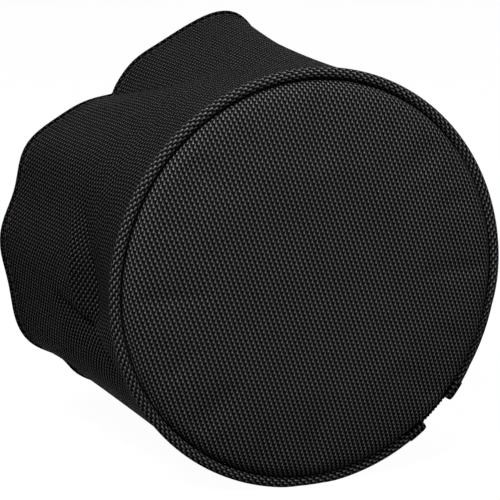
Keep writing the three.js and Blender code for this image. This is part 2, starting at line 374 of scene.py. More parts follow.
class Recipe(Nodes):
    """The nodes of one material."""

    def __init__(self, name):
        self.material = bpy.data.materials.new(name)
        self.material.use_nodes = True
        super().__init__(self.material.node_tree)
        self.tree.nodes.clear()

    def mix(self, share, first, second):
        """Mixes two colours. A mix node's colour sockets are its last ones."""
        settings = {"data_type": "RGBA", "clamp_factor": True}
        return self.node("ShaderNodeMix", settings, {0: share, 6: first, 7: second}, output=2)

    def ramp(self, value, low, high):
        """0 where the value is low or less, 1 where it is high or more."""
        return self.node("ShaderNodeMapRange", {}, {0: value, 1: low, 2: high, 3: 0.0, 4: 1.0})

    def noise(self, place, scale, detail):
        return self.node("ShaderNodeTexNoise", {}, {"Vector": place, "Scale": scale, "Detail": detail})

    def place(self):
        """Where a point lies on the flat cloth, in metres."""
        return self.node("ShaderNodeUVMap", {"uv_map": CLOTH_MAP}, {})

    def object_place(self):
        return self.node("ShaderNodeTexCoord", {}, {}, output="Object")

    def split(self, vector):
        x = self.node("ShaderNodeSeparateXYZ", {}, {0: vector})
        return x, x.pick("Y")

    def surface(self, colour, roughness, height, relief, specular):
        """A Principled shader with a bump. relief is the bump's depth in millimetres."""
        bump = {"Height": height, "Distance": relief * MM, "Strength": 1.0}
        normal = self.node("ShaderNodeBump", {}, bump)
        return self.node("ShaderNodeBsdfPrincipled", {}, {
            "Base Color": colour, "Roughness": roughness, "Normal": normal,
            "Specular IOR Level": specular})

    def finish(self, shader):
        self.node("ShaderNodeOutputMaterial", {}, {"Surface": shader})
        return self.material


def grey(level, blue=1.03):
    """A near-black that is a touch cooler than grey."""
    return (level, level, level * blue, 1.0)


# %% [markdown]
# ## The coarse woven nylon
#
# The cloth is a plain weave of thick, smooth yarns: about 25 warps and 18 wefts to the inch. The
# warps stand proud, and the light that each spot catches where one lies on top is painted into the
# colour: a bright painted highlight, with a narrower, dimmer painted highlight on one side of it.
# Between them the holes are painted near black as shade, and there the surface is a dark matt shader
# instead of the yarn's gloss. Both highlights are bells made of two sines, one across the yarn and
# one along it, and where the product of the sines is above zero the warp is the one on top. The two
# falls of a bell are powers of its sines. The backs of the yarns are also a low bump. Pitches are in
# millimetres, the scales of noises in spots to the metre, and the other numbers are shares.

# %% The woven cloth
WARP_PITCH = 1.014
WEFT_PITCH = 1.44
WANDER = 0.15
WANDER_SCALE = 45.0
# The painted highlights: their shares of the ramp, the falls of their bells, and how far the dimmer one
# is set off from the bright one, across and along the yarns.
PAINTED_HIGHLIGHT_SHARE = 0.88
PAINTED_HIGHLIGHT_FALLS = (0.9, 4.4)
PAINTED_TAIL_SHARE = 0.61
PAINTED_TAIL_FALLS = (3.2, 0.35)
PAINTED_TAIL_ASIDE = 0.165
PAINTED_TAIL_ABOVE = 0.55
WARP_ROUND = 0.7
WEFT_ROUND = 0.45
WEFT_LEVEL = 0.3
WEFT_WAVE = 0.47
# The painted shade in the holes, as a share of the yarn's level.
PAINTED_HOLE_SHADE = 0.03
FIBRES = 0.02
FIBRE_SCALE = 5200.0
WEAR_SCALE = 60.0
YARN_ROUGHNESS = 0.45


def highlight_bell(recipe, warps, wefts, across_fall, lengthways_fall):
    """A bell of painted highlight: 1 at the middle of each spot where a warp lies on top, falling off
    across and along it.
    """
    across = recipe.math("SINE", warps)
    lengthways = recipe.math("SINE", wefts)
    on_top = recipe.math("MAXIMUM", recipe.math("SIGN", across * lengthways), 0.0)
    back = recipe.math("ABSOLUTE", across) ** across_fall
    return on_top * back * recipe.math("ABSOLUTE", lengthways) ** lengthways_fall


def yarn_backs(recipe, warps, wefts):
    """The height of the higher of warp and weft."""
    across_warp = recipe.math("SINE", warps)
    across_weft = recipe.math("SINE", wefts)
    warp = recipe.math("ABSOLUTE", across_warp) ** WARP_ROUND
    weft_back = recipe.math("ABSOLUTE", across_weft) ** WEFT_ROUND
    weft = weft_back * WEFT_LEVEL - recipe.math("SIGN", across_weft) * across_warp * WEFT_WAVE
    return recipe.math("MAXIMUM", warp, weft)


def woven_cloth(name, level, holes, relief=0.1, glint=0.05):
    """holes gives the ramp of painted light: up to its first value the spot is painted black as shade,
    and from its second the yarn has its full painted highlight.
    """
    recipe = Recipe(name)
    place = recipe.place()
    x, y = recipe.split(place)
    wander = (recipe.noise(place, WANDER_SCALE, 1.0) - 0.5) * WANDER
    warps = (x * (1 / (WARP_PITCH * MM)) + wander) * math.pi
    wefts = (y * (1 / (WEFT_PITCH * MM)) + wander) * math.pi
    # Painted highlight: a bright bell where each warp lies on top, and a dimmer one set off beside it,
    # stand in for the light that those spots catch.
    painted_highlight = highlight_bell(recipe, warps, wefts, *PAINTED_HIGHLIGHT_FALLS)
    beside, above = warps + PAINTED_TAIL_ASIDE * math.pi, wefts - PAINTED_TAIL_ABOVE * math.pi
    painted_highlight_tail = highlight_bell(recipe, beside, above, *PAINTED_TAIL_FALLS)
    top = recipe.ramp(painted_highlight * PAINTED_HIGHLIGHT_SHARE + painted_highlight_tail * PAINTED_TAIL_SHARE, *holes)
    fibres = recipe.noise(place, FIBRE_SCALE, 2.0)
    wear = recipe.noise(place, WEAR_SCALE, 3.0)
    # Painted shade: below the ramp the holes are near black; above it the yarn takes the painted
    # highlight. Random wear then lightens the colour a little.
    shade = recipe.mix(top, grey(level * PAINTED_HOLE_SHADE), grey(level))
    wear_and_painted_light = recipe.mix(wear * 0.3, shade, grey(level * 1.5))
    rough = YARN_ROUGHNESS + (wear - 0.5) * 0.1
    height = yarn_backs(recipe, warps, wefts) + fibres * FIBRES
    yarn = recipe.surface(wear_and_painted_light, rough, height, relief, glint)
    # In the holes a dark matt shader stands in for the shade there, instead of the yarn's gloss.
    painted_hole_shader = recipe.node("ShaderNodeBsdfDiffuse", {}, {"Color": grey(level * PAINTED_HOLE_SHADE)})
    return recipe.finish(recipe.node("ShaderNodeMixShader", {}, {0: top, 1: painted_hole_shader, 2: yarn}))


# One cloth is made three times, at levels that are painted light and shade: the front's copy, also used
# on the roll, is painted lighter than the skirt's, and the hems' copy has a darker level.
front_nylon = woven_cloth("coarse_nylon_front", 0.185, (0.1, 0.8))
skirt_nylon = woven_cloth("coarse_nylon_skirt", 0.105, (0.2, 0.85), relief=0.3, glint=0.03)
hem_nylon = woven_cloth("coarse_nylon_hems", 0.085, (0.1, 0.8))
print("woven cloths made")

# %% [markdown]
# ## The plainer finishes
#
# The lining is a brushed knit, so it is matt with fine ribs under a fuzz. The tape and the webbing
# are ribbed across their length. Foam has small round cells, and the board fine fibres. The thread
# is a smooth twist.

# %% Lining, tape, foam, board, hooks, loops and thread
KNIT_PITCH = 1.1
SLANT_PITCH = 0.7


def brushed_knit(name, level):
    recipe = Recipe(name)
    place = recipe.place()
    x, y = recipe.split(place)
    ribs = recipe.math("SINE", x * (2 * math.pi / (KNIT_PITCH * MM)))
    fuzz = recipe.noise(place, 2600.0, 3.0)
    clouds = recipe.noise(place, 38.0, 3.0)
    shade = recipe.mix(fuzz * 0.5 + clouds * 0.5, grey(level * 0.6), grey(level * 1.4))
    height = ribs * 0.25 + fuzz
    return recipe.finish(recipe.surface(shade, 0.95 - clouds * 0.1, height, 0.25, 0.04))


def ribbed_webbing(name, level, pitch):
    recipe = Recipe(name)
    place = recipe.place()
    x, y = recipe.split(place)
    ribs = recipe.math("ABSOLUTE", recipe.math("SINE", x * (math.pi / (pitch * MM))))
    slant = recipe.math("SINE", (x + y * 0.6) * (2 * math.pi / (SLANT_PITCH * MM)))
    fibres = recipe.noise(place, 4200.0, 2.0)
    # Painted shade: the colour follows the ribs, near black in the grooves between them and lighter on
    # their crests.
    shade = recipe.mix(ribs, grey(level * 0.3), grey(level * 1.3))
    rough = 0.75 - ribs * 0.15 + (fibres - 0.5) * 0.1
    height = ribs + slant * 0.18 + fibres * 0.2
    return recipe.finish(recipe.surface(shade, rough, height, 0.16, 0.05))


def cellular_foam(name, level):
    recipe = Recipe(name)
    place = recipe.object_place()
    cells = recipe.node("ShaderNodeTexVoronoi", {}, {"Vector": place, "Scale": 1400.0})
    shade = recipe.mix(cells, grey(level * 1.3), grey(level * 0.7))
    return recipe.finish(recipe.surface(shade, 0.9 - cells * 0.1, cells, 0.2, 0.1))


def grained(name, level, scale, detail, shades, rough, rougher, relief, specular):
    """One fine grain drives the shade, the roughness and the bumps."""
    recipe = Recipe(name)
    grain = recipe.noise(recipe.object_place(), scale, detail)
    shade = recipe.mix(grain, grey(level * shades[0]), grey(level * shades[1]))
    return recipe.finish(recipe.surface(shade, rough + grain * rougher, grain, relief, specular))


lining_knit = brushed_knit("brushed_lining", 0.030)
binding_tape = ribbed_webbing("ribbed_binding_tape", 0.016, pitch=0.8)
strap_webbing = ribbed_webbing("ribbed_webbing", 0.017, pitch=1.0)
soft_foam = cellular_foam("closed_foam", 0.060)
grey_board = grained("plain_board", 0.080, scale=900.0, detail=4.0, shades=(0.7, 1.3), rough=0.6,
                     rougher=0.2, relief=0.05, specular=0.2)
hook_plastic = grained("moulded_hooks", 0.020, scale=1600.0, detail=2.0, shades=(0.8, 1.3), rough=0.4,
                       rougher=0.2, relief=0.03, specular=0.12)
loop_nap = grained("napped_loops", 0.020, scale=3200.0, detail=3.0, shades=(0.5, 1.6), rough=0.9,
                   rougher=-0.15, relief=0.2, specular=0.05)
black_thread = grained("twisted_thread", 0.022, scale=3800.0, detail=1.0, shades=(0.6, 1.7), rough=0.45,
                       rougher=0.15, relief=0.1, specular=0.1)
print("plain finishes made")

# %% [markdown]
# ## The skirt
#
# The skirt is one strip of the coarse cloth. It is turned over the stiff front's edge in a round
# roll, and the strip's two ends leave the slit. It is a loft: at each station round the cap the
# section runs along the outside, over the roll and back along the inside. Its raw edges are
# hidden, at the mouth and along the slit, in the hems. The roll is pulled as tight as the front, and
# it has the front's copy of the cloth, whose colour is painted lighter than the skirt's, as painted
# light.

# %% The skirt's sections
STATION_STEP = 0.75
CLOTH_IN_HEM = 1.4
STRIP_END = SLIT_GAP / 2 + CLOTH_IN_HEM
CLOTH_UNDER_HEM = 0.9
OUTSIDE_ENDS = 0.4
OUTER_COLUMNS = 97
ROLL_COLUMNS = 15
INNER_COLUMNS = 24
SQUEEZE = 0.65
SQUEEZE_ANGLE = 338.5
SQUEEZE_WIDTH = 11


def stations(end_arc, step=STATION_STEP):
    """Angles round the cap, from one side of the slit to the other."""
    low = SLIT_ANGLE + degrees(end_arc)
    high = SLIT_ANGLE + 360 - degrees(end_arc)
    return np.linspace(low, high, round((high - low) / step) + 1)


def roll_round(angle):
    """The roll is squeezed thinner where it lies just past the slit."""
    return ROLL_ROUND - SQUEEZE * bell(angle - SQUEEZE_ANGLE, SQUEEZE_WIDTH)


def over_roll(angle, turn, height=0.0):
    """Radius and y on the turned edge: turn 0 is its widest ring, 180 its seam in the groove."""
    round_radius = roll_round(angle)
    centre = GROOVE_RADIUS + round_radius
    reach = round_radius + height
    radius = centre + reach * np.cos(np.radians(turn))
    return rest_on(radius, angle, AXIS_HEIGHT), ROLL_PLANE - reach * np.sin(np.radians(turn))


def cloth_point(angle, depth, height=0.0):
    return around(skirt_surface(angle, depth) + height, ROLL_PLANE + depth, angle)


def skirt_grid():
    angle = stations(STRIP_END)[:, None]
    outer_depths = np.linspace(SKIRT_DEPTH - CLOTH_UNDER_HEM, OUTSIDE_ENDS, OUTER_COLUMNS)[None, :]
    outside = cloth_point(angle, outer_depths)
    radius, y = over_roll(angle, np.linspace(0, 180, ROLL_COLUMNS)[None, :])
    roll = around(radius, y, angle)
    groove = around(GROOVE_RADIUS + 0 * angle, SEAM_PLANE, angle)
    inner_depths = np.linspace(ROLL_FLARE, SKIRT_DEPTH - CLOTH_UNDER_HEM, INNER_COLUMNS)[None, :]
    inside = cloth_point(angle, inner_depths, -CLOTH)
    return np.concatenate([outside, roll, groove, inside], 1)


def cloth_of(grid):
    """The flat cloth's coordinates for a loft round the cap: x along each section, y round the
    cap. The yarns keep their number round the cap, so y is scaled to the length at the seam."""
    closed = np.concatenate([grid, grid[:, :1]], 1)
    x = along(closed, 1).mean(0)[None, :].repeat(len(grid), 0)
    y = along(closed, 0)
    seam_length = np.radians(360) * SKIRT_RADIUS * (len(grid) - 1) / (360 / STATION_STEP)
    return np.stack([x, y / y[-1:] * seam_length], 2)


skirt_points = skirt_grid()
skirt_cloth = lofted("skirt_cloth", skirt_points, cloth_of(skirt_points), skirt_nylon)
# The roll's faces take the front's copy of the cloth, which is painted lighter.
skirt_cloth.data.materials.append(front_nylon)
roll_columns = range(OUTER_COLUMNS - 1, OUTER_COLUMNS + ROLL_COLUMNS)
skirt_faces = skirt_cloth.data.polygons
on_roll = [face % skirt_points.shape[1] in roll_columns for face in range(len(skirt_faces))]
skirt_faces.foreach_set("material_index", on_roll)
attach(skirt_cloth, "cap")
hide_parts("skirt")

# %% [markdown]
# ## The lining and the tape inside
#
# A soft knit lines the skirt, just inside the cloth. A ribbed tape covers the seam in the corner
# between skirt and front. Both are lofts that use the skirt's formula, so they keep to its folds.

# %% The skirt's lining
LINING_COLUMNS = 60


def lining_grid():
    angle = stations(STRIP_END)[:, None]
    depths = np.linspace(ROLL_FLARE, SKIRT_DEPTH - CLOTH_UNDER_HEM, LINING_COLUMNS)[None, :]
    outside = cloth_point(angle, depths, -LINING_INSET)
    inside = cloth_point(angle, depths[:, ::-1], -INNER_INSET)
    return np.concatenate([outside, inside], 1)


lining_points = lining_grid()
skirt_inside = lofted("skirt_inside", lining_points, cloth_of(lining_points), lining_knit)
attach(skirt_inside, "cap")
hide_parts("skirt_lining")

# %% The tape over the seam
TAPE_THICKNESS = 2.2
TAPE_FRONT = (72.7, 1.5)
TAPE_BACK = (72.9, 6.6)
TAPE_RADIUS = 72.75
DENT_DEPTH = 10.0
LEAN_REACH = 8
HEM_COVER = SLIT_GAP / 2 + SLIT_HEM_WIDTH + CLEARANCE


def tape_lean(angle, y):
    """How far the tape leans in with the skirt's dents: more and more towards its back edge."""
    dent = np.minimum(skirt_surface(angle, DENT_DEPTH) - SKIRT_RADIUS, 0)
    return dent * np.clip(y / LEAN_REACH, 0, 1)


def tape_grid():
    angle = stations(HEM_COVER)[:, None]
    line = np.linspace(TAPE_FRONT, TAPE_BACK, LEG_STEPS)
    section = thick_line(line, TAPE_THICKNESS, round_steps=7)
    radius, y = section[None, :, 0], section[None, :, 1]
    return around(radius + tape_lean(angle, y), y, angle)


tape_points = tape_grid()
tape_cloth = cloth_of(tape_points)[:, :, ::-1]
corner_tape = lofted("corner_tape", tape_points, tape_cloth, binding_tape)
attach(corner_tape, "cap")
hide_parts("seam_tape")

# %% [markdown]
# ## The hems
#
# A narrow strip of the same cloth is folded over the skirt's rim, and another over each end of the
# skirt. Seen from its edge a hem is a line with two legs, thickened and carried along. Each slit
# hem runs on over the roll, where its end stands proud as a thick nub.

# %% The hem round the mouth
RIM_BEAD = 2.3
HEM_MIDDLE = -INNER_INSET / 2
HEM_FOLD = HEM_STEP - HEM_CLOTH / 2 - HEM_MIDDLE


def mouth_hem_grid():
    angle = stations(HEM_COVER)[:, None]
    turn_at = SKIRT_DEPTH - HEM_CLOTH / 2 - HEM_FOLD
    inner_end = SKIRT_DEPTH - MOUTH_HEM_WIDTH + HEM_CLOTH / 2
    line = folded_edge(turn_at, SKIRT_DEPTH - RIM_BEAD, inner_end, HEM_MIDDLE, HEM_FOLD)
    section = thick_line(line, HEM_CLOTH)
    return cloth_point(angle, section[None, :, 0], section[None, :, 1])


mouth_hem_points = mouth_hem_grid()
mouth_hem = lofted("mouth_hem", mouth_hem_points, cloth_of(mouth_hem_points), hem_nylon)
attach(mouth_hem, "cap")
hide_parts("mouth_binding")

# %% The hems along the slit
HEM_TURN_AT = SLIT_GAP / 2 + HEM_CLOTH / 2 + HEM_FOLD
HEM_LEG_END = SLIT_GAP / 2 + SLIT_HEM_WIDTH - HEM_CLOTH / 2
HEM_ENDS = 0.2
SHORT_LEG = -0.8
LEG_GROWS_OVER = 4
NUB_TURN = 165
NUB_ROWS = 20
NUB_STEP = 0.4
STEP_GROWS_OVER = 12
NUB_FLOOR = 0.1 - ROLL_ROUND


def slit_hem_section(side, inner_end, step):
    """Angles and heights of a section. step scales how far it stands proud of the cloth."""
    line = folded_edge(HEM_TURN_AT, HEM_LEG_END, inner_end, HEM_MIDDLE, HEM_FOLD)
    section = thick_line(line, HEM_CLOTH)
    angle = SLIT_ANGLE + side * degrees(section[:, 0])
    return angle, np.where(section[:, 1] > 0, section[:, 1] * step, section[:, 1])


def slit_hem_grid(side):
    """side is 1 above the slit and -1 below it. Rows run from the mouth over the roll. The inner
    leg is short at the roll, where there is no room for it."""
    rows = []
    for depth in np.arange(SKIRT_DEPTH - HEM_ENDS, HEM_ENDS, -1.0):
        room = np.clip((depth - ROLL_FLARE) / LEG_GROWS_OVER, 0, 1)
        inner_end = HEM_TURN_AT + (HEM_LEG_END - HEM_TURN_AT) * room + SHORT_LEG * (1 - room)
        step = NUB_STEP + (1 - NUB_STEP) * np.clip(depth / STEP_GROWS_OVER, 0, 1)
        angle, height = slit_hem_section(side, inner_end, step)
        rows.append(cloth_point(angle, depth, height))
    for turn in np.linspace(0, NUB_TURN, NUB_ROWS):
        angle, height = slit_hem_section(side, HEM_TURN_AT + SHORT_LEG, NUB_STEP)
        radius, y = over_roll(angle, turn, np.maximum(height, NUB_FLOOR))
        rows.append(around(radius, y, angle))
    return np.array(rows)


def cloth_along(grid):
    """The flat cloth's coordinates for a narrow loft: x across each section, y along the rows."""
    closed = np.concatenate([grid, grid[:, :1]], 1)
    x = along(closed, 1)
    y = along(closed, 0).mean(1, keepdims=True).repeat(closed.shape[1], 1)
    return np.stack([x, y], 2)


for hem_name, node, side in (("slit_hem_upper", "slit_binding_upper", 1),
                             ("slit_hem_lower", "slit_binding_lower", -1)):
    slit_hem_points = slit_hem_grid(side)
    slit_hem = lofted(hem_name, slit_hem_points, cloth_along(slit_hem_points), hem_nylon)
    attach(slit_hem, "cap")
    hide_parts(node)

# %% [markdown]
# ## The padded front
#
# The front's cloth is pulled tight over foam, gently crowned and steep at the shoulder. A smooth
# formula would look moulded, so the cloth is simulated for a moment: a disc pinned at its rim is
# blown up by a light pressure, and how far it may move is capped. The result gets one subdivision
# and a wall's thickness. Its rim then runs straight back, down into the groove.

# %% The cloth of the front
PANEL_FRONT = ROLL_PLANE - CLOTH
PANEL_CLOTH = 0.8
SHOULDER_RISE = 6.0
CROWN_RISE = 1.2
SHOULDER_POWER = 10
PUFF_FRAMES = 20
PUFF_PRESSURE = 4.0
PUFF_CAP = 0.9
WALL_RINGS = 4
CURVE_SAMPLES = 400
WARP_LEANS = -15.1
WEFT_LEANS = 78.0


def crown_y(share):
    """How far forward the padded front stands, at a share of its radius."""
    shoulder = SHOULDER_RISE * np.sqrt(np.maximum(1 - share ** SHOULDER_POWER, 0))
    return PANEL_FRONT - shoulder - CROWN_RISE * (1 - share ** 2)


def disc_grid(count):
    """Points of a unit disc that run in rows and columns, as a square net pulled round."""
    u, v = np.meshgrid(np.linspace(-1, 1, count), np.linspace(-1, 1, count), indexing="ij")
    return u * np.sqrt(1 - v * v / 2), v * np.sqrt(1 - u * u / 2)


def net_faces(count):
    row, column = np.meshgrid(np.arange(count - 1), np.arange(count - 1), indexing="ij")
    row, column = row.ravel(), column.ravel()
    return np.stack([(row + r) * count + column + c for r, c in ((0, 0), (1, 0), (1, 1), (0, 1))], 1)


def rim_of(count):
    """The net's rim, as indices in order."""
    index = np.arange(count * count).reshape(count, count)
    return np.concatenate([index[:-1, 0], index[-1, :-1], index[:0:-1, -1], index[0, :0:-1]])


NET = 81
net_x, net_z = disc_grid(NET)
net_share = np.hypot(net_x, net_z)
net_points = np.stack([net_x * PANEL_RADIUS, crown_y(net_share), net_z * PANEL_RADIUS], -1)
print("front net:", NET, "by", NET, "points, crown", round(-net_points[..., 1].min(), 2), "mm forward")

# %% Blow the front up a little
def puffed(points, faces, pinned):
    """The points after a short cloth simulation with air under them."""
    mesh = mesh_from("front_net", points.reshape(-1, 3), faces.tolist())
    net = linked("front_net", mesh)
    group = net.vertex_groups.new(name="pinned")
    group.add(pinned.tolist(), 1.0, "REPLACE")
    cloth = net.modifiers.new("Cloth", "CLOTH")
    cloth.settings.vertex_group_mass = "pinned"
    cloth.settings.use_pressure = True
    cloth.settings.uniform_pressure_force = PUFF_PRESSURE
    cloth.settings.tension_stiffness = 30
    cloth.settings.compression_stiffness = 30
    cloth.settings.shear_stiffness = 10
    cloth.settings.bending_stiffness = 2
    cloth.settings.effector_weights.gravity = 0
    cloth.collision_settings.use_collision = False
    scene = bpy.context.scene
    for frame_number in range(1, PUFF_FRAMES + 1):
        scene.frame_set(frame_number)
    evaluated = net.evaluated_get(bpy.context.evaluated_depsgraph_get())
    moved = np.empty(len(mesh.vertices) * 3)
    evaluated.data.vertices.foreach_get("co", moved)
    scene.frame_set(1)
    bpy.data.objects.remove(net)
    return moved.reshape(points.shape) / MM


puff = puffed(net_points, net_faces(NET), rim_of(NET)) - net_points
travel = np.linalg.norm(puff, axis=-1, keepdims=True)
puff *= np.minimum(travel, PUFF_CAP) / np.maximum(travel, 1e-9)
print("cloth moved up to", round(float(travel.max()), 2), "mm, capped at", PUFF_CAP, "mm")

# %% Give the front its thickness and side wall
def front_shell(points):
    """The pulled cloth with its side wall and its inside, as one closed mesh."""
    rim = rim_of(NET)
    outside = points.reshape(-1, 3)
    wall_planes = np.linspace(PANEL_FRONT, SEAM_PLANE, WALL_RINGS + 1)[1:]
    outer = [outside[rim] * (1, 0, 1) + (0, y, 0) for y in wall_planes]
    inset = 1 - PANEL_CLOTH / PANEL_RADIUS
    inner = [ring * (inset, 1, inset) for ring in outer[::-1]]
    inside = outside * (inset, 1, inset) + (0, PANEL_CLOTH, 0)
    points = np.concatenate([outside, *outer, *inner, inside])
    ring_starts = len(outside) + len(rim) * np.arange(2 * WALL_RINGS)
    inside_start = len(points) - len(inside)
    rings = [rim, *(start + np.arange(len(rim)) for start in ring_starts), inside_start + rim]
    faces = [net_faces(NET), net_faces(NET)[:, ::-1] + inside_start]
    for first, second in zip(rings[:-1], rings[1:]):
        sides = [first, np.roll(first, -1), np.roll(second, -1), second]
        faces.append(np.stack(sides, 1))
    return points, np.concatenate(faces)


def yarn_place(points):
    """Where a point of the front lies along its warp and weft. The two aren't quite square, and over
    the shoulder the cloth is measured along its own curve."""
    shares = 1 - np.linspace(1, 0, CURVE_SAMPLES) ** 3
    curve = np.stack([shares * PANEL_RADIUS, crown_y(shares), 0 * shares], 1)
    run = along(curve[None], 1)[0]
    radius = np.hypot(points[:, 0], points[:, 2])
    share = np.minimum(radius / PANEL_RADIUS, 1)
    wall = np.where(share > 1 - 1e-4, np.maximum(points[:, 1] - PANEL_FRONT, 0), 0)
    longer = (np.interp(share, shares, run) + wall) / np.maximum(radius, 1e-6)
    x, z = points[:, 0] * longer, points[:, 2] * longer
    warp, weft = np.radians(WARP_LEANS), np.radians(WEFT_LEANS)
    return np.stack([x * np.cos(warp) + z * np.sin(warp), x * np.cos(weft) + z * np.sin(weft)], 1)


shell_points, shell_faces = front_shell(net_points + puff)
if points_inwards(shell_points, shell_faces):
    shell_faces = shell_faces[:, ::-1]
front_mesh = mesh_from("front_cloth", shell_points, shell_faces.tolist())
add_cloth_map(front_mesh, yarn_place(shell_points)[shell_faces.ravel()] * MM)
front_mesh.polygons.foreach_set("use_smooth", [True] * len(shell_faces))
front_cloth = new_object("front_cloth", front_mesh, front_nylon)
rounded = front_cloth.modifiers.new("Subdivision", "SUBSURF")
rounded.levels = rounded.render_levels = 1
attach(front_cloth, "cap")
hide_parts("front_panel")
print("front_cloth", len(shell_faces), "faces before it is subdivided")

# %% [markdown]
# ## What lies behind the front's cloth
#
# Behind the cloth are the foam that crowns it, the board that keeps it round and the lining that
# the hood seats on. Foam and lining are turned: a profile goes round the axis. The board is the
# construction's own piece, because a flat round board is right as it is.

# %% The foam, the board and the lining of the front
TURN_STEPS = 120
SHARP_FROM = math.radians(40)


def turned(name, profile, finish):
    """A closed piece round the axis. Its profile runs from the axis out and back to the axis."""
    profile = np.asarray(profile, float)
    angle = np.linspace(0, 360, TURN_STEPS, endpoint=False)
    inner = profile[1:-1]
    rings = around(inner[:, 0][:, None], inner[:, 1][:, None], angle[None, :])
    points = np.concatenate([rings.reshape(-1, 3), [[0, profile[0, 1], 0], [0, profile[-1, 1], 0]]])
    column = np.arange(TURN_STEPS)
    following = (column + 1) % TURN_STEPS
    faces = []
    for row in range(len(inner) - 1):
        low, high = row * TURN_STEPS, (row + 1) * TURN_STEPS
        faces += np.stack([low + column, low + following, high + following, high + column], 1).tolist()
    end = (len(inner) - 1) * TURN_STEPS
    poles = len(inner) * TURN_STEPS
    faces += [[poles, b, a] for a, b in zip(column.tolist(), following.tolist())]
    faces += [[poles + 1, end + a, end + b] for a, b in zip(column.tolist(), following.tolist())]
    quads = np.array(faces[:TURN_STEPS * (len(inner) - 1)])
    if points_inwards(points, quads):
        faces = [face[::-1] for face in faces]
    mesh = mesh_from(name, points, faces)
    add_cloth_map(mesh, yarn_place(points)[np.concatenate([np.array(f) for f in faces])] * MM)
    mesh.polygons.foreach_set("use_smooth", [True] * len(faces))
    mesh.set_sharp_from_angle(angle=SHARP_FROM)
    print(name, len(faces), "faces")
    return new_object(name, mesh, finish)


STIFFENER_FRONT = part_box("front_stiffener")[0].y / MM
FOAM_BACK = STIFFENER_FRONT - CLEARANCE
FOAM_FRONT = PANEL_FRONT + PANEL_CLOTH + CLEARANCE
FOAM_RADIUS = PANEL_RADIUS - PANEL_CLOTH - CLEARANCE
FOAM_RINGS = 30
foam_shares = 1 - np.linspace(1, 0, FOAM_RINGS) ** 2
foam_profile = [(FOAM_RADIUS * s, crown_y(s) - PANEL_FRONT + FOAM_FRONT) for s in foam_shares]
foam_profile += [(FOAM_RADIUS, FOAM_BACK), (0, FOAM_BACK)]
front_padding = turned("front_padding", foam_profile, soft_foam)
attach(front_padding, "cap")
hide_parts("front_foam")

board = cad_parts["front_stiffener"]
board.data.materials.clear()
board.data.materials.append(grey_board)

FRONT_LINING = 0.8
LINING_MARGIN = 0.2
SEAT_INSET = 3.4
SEAT_RADIUS = GROOVE_RADIUS - SEAT_INSET
SEAT_RINGS = 24
lining_profile = [(0, -FRONT_LINING), (PANEL_RADIUS - 0.2, -FRONT_LINING),
                  (PANEL_RADIUS, -FRONT_LINING + 0.2), (PANEL_RADIUS, -LINING_MARGIN - 0.1),
                  (PANEL_RADIUS - 0.1, -LINING_MARGIN), (SEAT_RADIUS + 0.6, -LINING_MARGIN),
                  (SEAT_RADIUS + 0.2, -0.12), (SEAT_RADIUS - 0.3, -0.02), (SEAT_RADIUS - 1.0, 0.0)]
lining_profile += [(radius, 0.0) for radius in np.linspace(SEAT_RADIUS - 1, 0, SEAT_RINGS)[1:]]
front_inside = turned("front_inside", lining_profile, lining_knit)
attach(front_inside, "cap")
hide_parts("front_lining")

# %% [markdown]
# ## The edge that shows in the slit
#
# Between the two hems there is no roll. There the front's own cloth shows at the seam, cut with
# pinking shears: a thick edge with small teeth. It is a loft whose rim goes in and out.

# %% The pinked edge in the slit
EDGE_REACH = 7.2
EDGE_STEP = 0.2
EDGE_THICKNESS = 1.3
EDGE_ROOT = (GROOVE_RADIUS, -1.6)
EDGE_RIM = (75.4, -2.4)
EDGE_CURL = 0.5
TOOTH_WIDTH = 0.75
TOOTH_DEPTH = 0.45


def pinked_edge_grid():
    arc = np.arange(-EDGE_REACH, EDGE_REACH + 0.01, EDGE_STEP)
    tooth = np.abs((arc / TOOTH_WIDTH) % 2 - 1)
    rows = []
    for place, reach in zip(arc, tooth):
        rim = (EDGE_RIM[0] + TOOTH_DEPTH * reach, EDGE_RIM[1])
        line = np.linspace(EDGE_ROOT, rim, LEG_STEPS)
        line[:, 1] -= EDGE_CURL * np.linspace(0, 1, LEG_STEPS) ** 2
        section = thick_line(line, EDGE_THICKNESS)
        rows.append(around(section[:, 0], section[:, 1], SLIT_ANGLE + degrees(place)))
    return np.array(rows)


pinked_points = pinked_edge_grid()
slit_seam_edge = lofted("slit_seam_edge", pinked_points, cloth_along(pinked_points), hem_nylon)
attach(slit_seam_edge, "cap")

# %% [markdown]
# ## The closure
#
# A strap of webbing is sewn down on one side of the slit. Its free end crosses the slit and holds
# to a patch of loops with a patch of hooks. On the real cap it is one length of webbing that bends
# at its root, so it is one mesh here too.

# %% The webbing
STRAP_LOW, STRAP_HIGH = (corner.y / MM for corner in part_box("strap_base"))
STRAP_THICKNESS = 1.4
STRAP_BASE_END = 39.5
STRAP_TIP = -31.0
STRAP_STEP = 0.5
STRIP_COLUMNS = 12
STRAP_RISE = (15.0, 19.0)
TAB_RISE = (-15.8, 15.2)
STRAP_LIE = CLEARANCE
TAB_ROOT_LIE = HEM_STEP + CLEARANCE
TAB_TIP_LIE = 3.4
BEND_HEIGHT = 2.7
BEND_ARCS = (17.5, 13.0)


def smooth(share):
    share = np.clip(share, 0, 1)
    return share * share * (3 - 2 * share)


def strap_lie(arc):
    """How far the webbing's inside lies over the cloth, at an arc from the slit's middle."""
    lie = STRAP_LIE
    for (low, high), rise in ((STRAP_RISE, TAB_ROOT_LIE - STRAP_LIE),
                              (TAB_RISE, TAB_TIP_LIE - TAB_ROOT_LIE)):
        lie = lie + rise * smooth((high - arc) / (high - low))
    return lie


